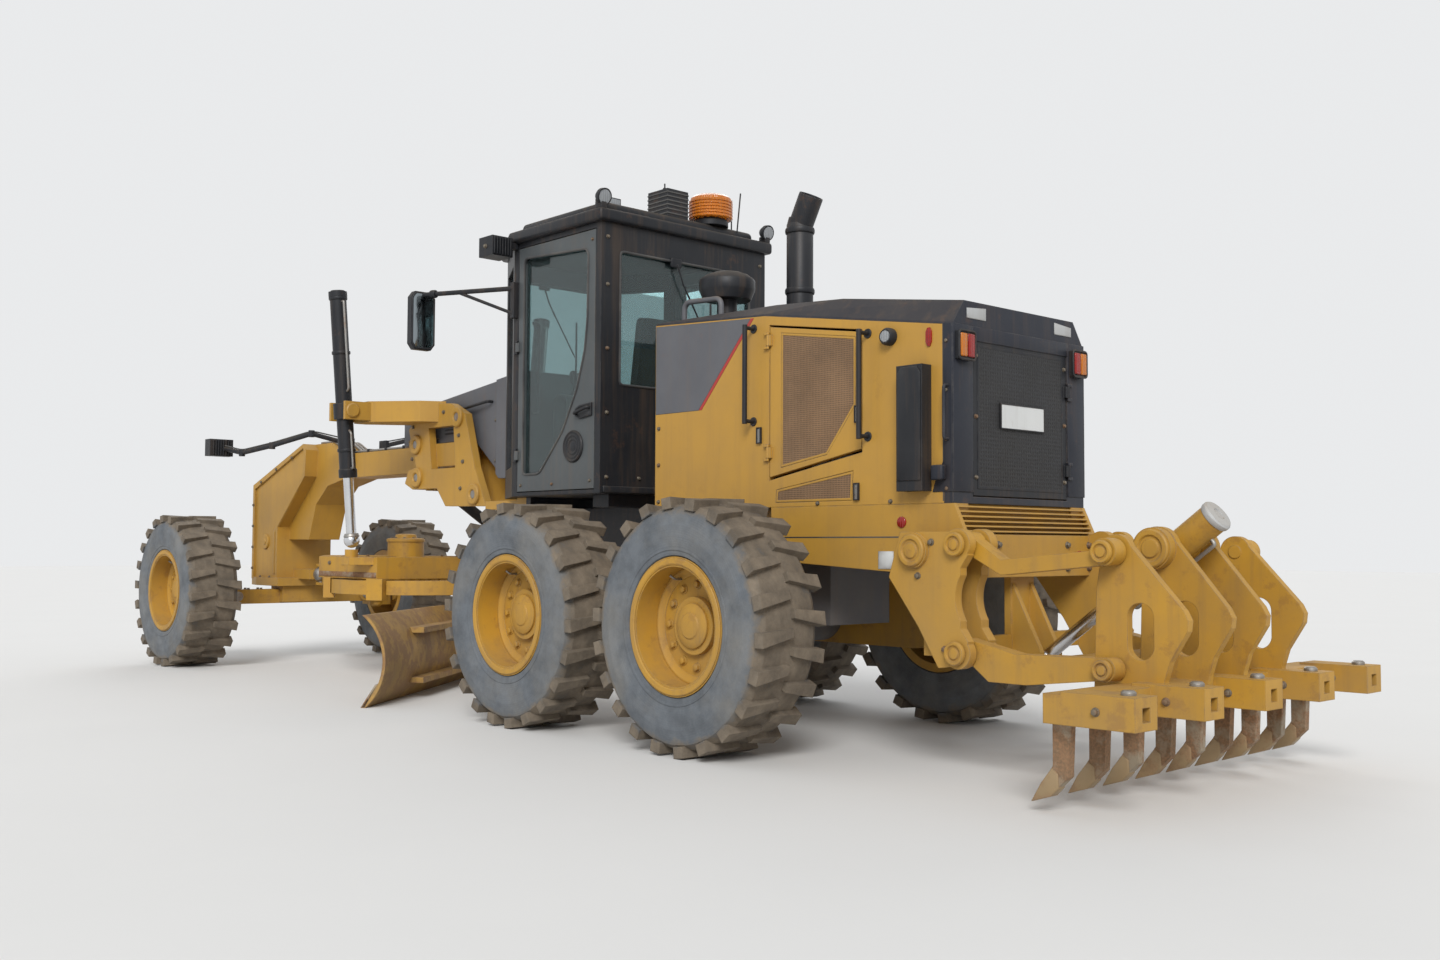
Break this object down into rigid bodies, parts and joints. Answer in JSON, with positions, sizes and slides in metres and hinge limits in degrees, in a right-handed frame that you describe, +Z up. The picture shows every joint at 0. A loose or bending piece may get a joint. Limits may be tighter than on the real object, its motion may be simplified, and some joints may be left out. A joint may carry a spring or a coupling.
{
  "type": "motor grader",
  "caption": "Six-wheeled motor grader, hinged behind its cab, with a turning blade under an arched frame and a toothed ripper behind.",
  "frame": {"origin": "on the ground under the middle of the machine's length and width", "axes": "+X forward, +Y to the machine's left, +Z up"},
  "size_m": [10.0777, 2.9104, 3.49],
  "materials": {
    "yellow_paint": "dusty ochre-yellow machine paint",
    "black_paint": "satin black paint",
    "grey_paint": "dark grey paint",
    "tyre": "worn rubber, brown dust between the lugs",
    "glass": "slightly tinted flat panes",
    "rod": "polished rod",
    "worn_steel": "rusty brown worn steel",
    "mesh": "black mesh",
    "amber": "amber and red lens",
    "seat": "dark seat and console"
  },
  "bodies": {
    "rear": {"rear_frame": "yellow_paint", "driveline": "grey_paint", "tandem_cases": "yellow_paint", "hood": "yellow_paint", "hood_cap": "black_paint", "stacks": "black_paint", "rear_lamps": "amber", "hood_rails": "black_paint"},
    "engine_door_left": {"engine_door_left": "yellow_paint"},
    "engine_door_right": {"engine_door_right": "yellow_paint"},
    "rear_screen": {"rear_screen": "mesh"},
    "wheel_rear_left": {"tyre_rear_left": "tyre", "rim_rear_left": "yellow_paint"},
    "wheel_rear_right": {"tyre_rear_right": "tyre", "rim_rear_right": "yellow_paint"},
    "wheel_mid_left": {"tyre_mid_left": "tyre", "rim_mid_left": "yellow_paint"},
    "wheel_mid_right": {"tyre_mid_right": "tyre", "rim_mid_right": "yellow_paint"},
    "front": {"front_frame": "yellow_paint", "front_cover": "grey_paint", "cab_shell": "black_paint", "cab_roof": "black_paint", "cab_glass": "glass", "cab_interior": "seat", "cab_fittings": "black_paint", "beacon": "amber", "lift_arms": "yellow_paint", "front_axle": "yellow_paint"},
    "cab_door_left": {"cab_door_left": "grey_paint"},
    "cab_door_right": {"cab_door_right": "grey_paint"},
    "lift_barrel_left": {"lift_barrel_left": "black_paint"},
    "lift_barrel_right": {"lift_barrel_right": "black_paint"},
    "lift_rod_left": {"lift_rod_left": "rod"},
    "lift_rod_right": {"lift_rod_right": "rod"},
    "drawbar_ball": {"drawbar_ball": "rod"},
    "drawbar": {"drawbar": "yellow_paint"},
    "circle": {"circle": "yellow_paint"},
    "blade_mount": {"blade_mount": "yellow_paint"},
    "blade": {"blade": "worn_steel"},
    "tip_barrel": {"tip_barrel": "black_paint"},
    "tip_rod": {"tip_rod": "rod"},
    "shift_barrel": {"shift_barrel": "black_paint"},
    "shift_rod": {"shift_rod": "rod"},
    "lean_yoke_left": {"lean_yoke_left": "yellow_paint"},
    "lean_yoke_right": {"lean_yoke_right": "yellow_paint"},
    "spindle_left": {"spindle_left": "yellow_paint"},
    "spindle_right": {"spindle_right": "yellow_paint"},
    "tie_ball": {"tie_ball": "rod"},
    "tie_rod": {"tie_rod": "black_paint"},
    "wheel_front_left": {"tyre_front_left": "tyre", "rim_front_left": "yellow_paint"},
    "wheel_front_right": {"tyre_front_right": "tyre", "rim_front_right": "yellow_paint"},
    "ripper_lower_link": {"ripper_lower_link": "yellow_paint"},
    "ripper_upper_links": {"ripper_upper_links": "yellow_paint"},
    "ripper_carriage": {"ripper_carriage": "yellow_paint", "ripper_teeth": "worn_steel"},
    "ripper_barrel": {"ripper_barrel": "yellow_paint"},
    "ripper_rod": {"ripper_rod": "rod"}
  },
  "joints": [
    {"name": "rear_left_wheel_turn", "type": "hinge", "parent": "rear", "child": "wheel_rear_left", "pos_m": [-2.5105, 1.07, 0.665], "axis": [0, 1, 0], "continuous": true},
    {"name": "rear_right_wheel_turn", "type": "hinge", "parent": "rear", "child": "wheel_rear_right", "pos_m": [-2.5105, -1.07, 0.665], "axis": [0, 1, 0], "continuous": true},
    {"name": "mid_left_wheel_turn", "type": "hinge", "parent": "rear", "child": "wheel_mid_left", "pos_m": [-0.9875, 1.07, 0.665], "axis": [0, 1, 0], "continuous": true},
    {"name": "mid_right_wheel_turn", "type": "hinge", "parent": "rear", "child": "wheel_mid_right", "pos_m": [-0.9875, -1.07, 0.665], "axis": [0, 1, 0], "continuous": true},
    {"name": "articulation", "type": "hinge", "parent": "rear", "child": "front", "pos_m": [-1.319, 0, 1.115], "axis": [0, 0, 1], "range_deg": [-20, 20]},
    {"name": "engine_door_left_open", "type": "hinge", "parent": "rear", "child": "engine_door_left", "pos_m": [-2.483, 0.579, 1.9], "axis": [0, 0, -1], "range_deg": [0, 105]},
    {"name": "engine_door_right_open", "type": "hinge", "parent": "rear", "child": "engine_door_right", "pos_m": [-2.483, -0.579, 1.9], "axis": [0, 0, 1], "range_deg": [0, 105]},
    {"name": "rear_screen_open", "type": "hinge", "parent": "rear", "child": "rear_screen", "pos_m": [-3.751, -0.411, 1.7], "axis": [0, 0, 1], "range_deg": [0, 90]},
    {"name": "cab_door_left_open", "type": "hinge", "parent": "front", "child": "cab_door_left", "pos_m": [-0.253, 0.722, 2.2], "axis": [0, 0, -1], "range_deg": [0, 90]},
    {"name": "cab_door_right_open", "type": "hinge", "parent": "front", "child": "cab_door_right", "pos_m": [-0.253, -0.722, 2.2], "axis": [0, 0, 1], "range_deg": [0, 90]},
    {"name": "drawbar_lift", "type": "hinge", "parent": "front", "child": "drawbar_ball", "pos_m": [3.951, 0, 0.8], "axis": [0, -1, 0], "range_deg": [-11.5, 17.5]},
    {"name": "centre_shift", "type": "hinge", "parent": "drawbar_ball", "child": "drawbar", "pos_m": [3.951, 0, 0.8], "axis": [0, 0, 1], "range_deg": [-8, 8]},
    {"name": "lift_left_swing", "type": "hinge", "parent": "front", "child": "lift_barrel_left", "pos_m": [1.841, 0.88, 2.1], "axis": [1, 0, 0], "range_deg": [-17, 17]},
    {"name": "lift_left_stroke", "type": "slide", "parent": "lift_barrel_left", "child": "lift_rod_left", "axis": [0, -0.0805, -0.9968], "range_m": [-0.43, 0.65]},
    {"name": "lift_right_swing", "type": "hinge", "parent": "front", "child": "lift_barrel_right", "pos_m": [1.841, -0.88, 2.1], "axis": [1, 0, 0], "range_deg": [-17, 17]},
    {"name": "lift_right_stroke", "type": "slide", "parent": "lift_barrel_right", "child": "lift_rod_right", "axis": [0, 0.0805, -0.9968], "range_m": [-0.43, 0.65]},
    {"name": "circle_turn", "type": "hinge", "parent": "drawbar", "child": "circle", "pos_m": [2.051, 0, 0.745], "axis": [0, 0, 1], "continuous": true},
    {"name": "blade_tip", "type": "hinge", "parent": "circle", "child": "blade_mount", "pos_m": [1.59137, -0.38567, 0.2], "axis": [-0.6428, 0.766, 0], "range_deg": [-5, 40]},
    {"name": "side_shift", "type": "slide", "parent": "blade_mount", "child": "blade", "axis": [0.6428, -0.766, 0], "range_m": [-0.212, 0.963]},
    {"name": "tip_ram_swing", "type": "hinge", "parent": "circle", "child": "tip_barrel", "pos_m": [1.48413, -0.47566, 0.615], "axis": [-0.6428, 0.766, 0], "range_deg": [-6, 1]},
    {"name": "tip_ram_stroke", "type": "slide", "parent": "tip_barrel", "child": "tip_rod", "axis": [-0.0185, -0.0155, -0.9997], "range_m": [-0.097, 0.013]},
    {"name": "shift_ram_swing", "type": "hinge", "parent": "front", "child": "shift_barrel", "pos_m": [1.521, 0.21, 1.54], "axis": [1, 0, 0], "range_deg": [-22, 34]},
    {"name": "shift_ram_stroke", "type": "slide", "parent": "shift_barrel", "child": "shift_rod", "axis": [0, -0.8321, -0.5547], "range_m": [-0.28, 0.28]},
    {"name": "lean_left", "type": "hinge", "parent": "front", "child": "lean_yoke_left", "pos_m": [4.374, 0.64, 0.6], "axis": [1, 0, 0], "range_deg": [-18, 18]},
    {"name": "lean_right", "type": "hinge", "parent": "front", "child": "lean_yoke_right", "pos_m": [4.374, -0.64, 0.6], "axis": [1, 0, 0], "range_deg": [-18, 18]},
    {"name": "steering_left", "type": "hinge", "parent": "lean_yoke_left", "child": "spindle_left", "pos_m": [4.374, 0.8, 0.665], "axis": [0, 0, 1], "range_deg": [-47.5, 47.5]},
    {"name": "steering_right", "type": "hinge", "parent": "lean_yoke_right", "child": "spindle_right", "pos_m": [4.374, -0.8, 0.665], "axis": [0, 0, 1], "range_deg": [-47.5, 47.5]},
    {"name": "tie_ball_turn", "type": "hinge", "parent": "spindle_left", "child": "tie_ball", "pos_m": [4.604, 0.8, 0.575], "axis": [0, 0, 1], "range_deg": [-47.5, 47.5]},
    {"name": "tie_rod_swing", "type": "hinge", "parent": "tie_ball", "child": "tie_rod", "pos_m": [4.604, 0.8, 0.575], "axis": [1, 0, 0], "range_deg": [-15, 15]},
    {"name": "front_left_wheel_turn", "type": "hinge", "parent": "spindle_left", "child": "wheel_front_left", "pos_m": [4.374, 1.07, 0.665], "axis": [0, 1, 0], "continuous": true},
    {"name": "front_right_wheel_turn", "type": "hinge", "parent": "spindle_right", "child": "wheel_front_right", "pos_m": [4.374, -1.07, 0.665], "axis": [0, 1, 0], "continuous": true},
    {"name": "ripper_lift", "type": "hinge", "parent": "rear", "child": "ripper_lower_link", "pos_m": [-3.879, 0, 0.585], "axis": [0, -1, 0], "range_deg": [-38, 33]},
    {"name": "ripper_upper_swing", "type": "hinge", "parent": "rear", "child": "ripper_upper_links", "pos_m": [-3.879, 0, 1.09], "axis": [0, -1, 0], "range_deg": [-38, 33]},
    {"name": "ripper_carriage_swing", "type": "hinge", "parent": "ripper_lower_link", "child": "ripper_carriage", "pos_m": [-4.609, 0, 0.555], "axis": [0, -1, 0], "range_deg": [-33, 38]},
    {"name": "ripper_ram_swing", "type": "hinge", "parent": "ripper_carriage", "child": "ripper_barrel", "pos_m": [-4.589, 0, 1.075], "axis": [0, -1, 0], "range_deg": [-24, 21]},
    {"name": "ripper_ram_stroke", "type": "slide", "parent": "ripper_barrel", "child": "ripper_rod", "axis": [0.7961, 0, -0.6052], "range_m": [-0.257, 0.296]}
  ],
  "couplings": [
    {"joint": "lift_left_swing", "follows": "centre_shift", "ratio": -2.1},
    {"joint": "lift_right_swing", "follows": "centre_shift", "ratio": -2.1},
    {"joint": "lift_left_stroke", "follows": "drawbar_lift", "m_per_rad": 2.1},
    {"joint": "lift_right_stroke", "follows": "drawbar_lift", "m_per_rad": 2.1},
    {"joint": "shift_ram_swing", "follows": "drawbar_lift", "ratio": 1.9},
    {"joint": "shift_ram_stroke", "follows": "centre_shift", "m_per_rad": 1.94},
    {"joint": "tip_ram_swing", "follows": "blade_tip", "ratio": -0.147},
    {"joint": "tip_ram_stroke", "follows": "blade_tip", "m_per_rad": -0.137},
    {"joint": "lean_right", "follows": "lean_left", "ratio": 1},
    {"joint": "steering_right", "follows": "steering_left", "ratio": 1},
    {"joint": "tie_ball_turn", "follows": "steering_left", "ratio": -1},
    {"joint": "tie_rod_swing", "follows": "lean_left", "ratio": -0.803},
    {"joint": "ripper_upper_swing", "follows": "ripper_lift", "ratio": 1},
    {"joint": "ripper_carriage_swing", "follows": "ripper_lift", "ratio": -1},
    {"joint": "ripper_ram_swing", "follows": "ripper_lift", "ratio": 0.63},
    {"joint": "ripper_ram_stroke", "follows": "ripper_lift", "m_per_rad": -0.445}
  ]
}
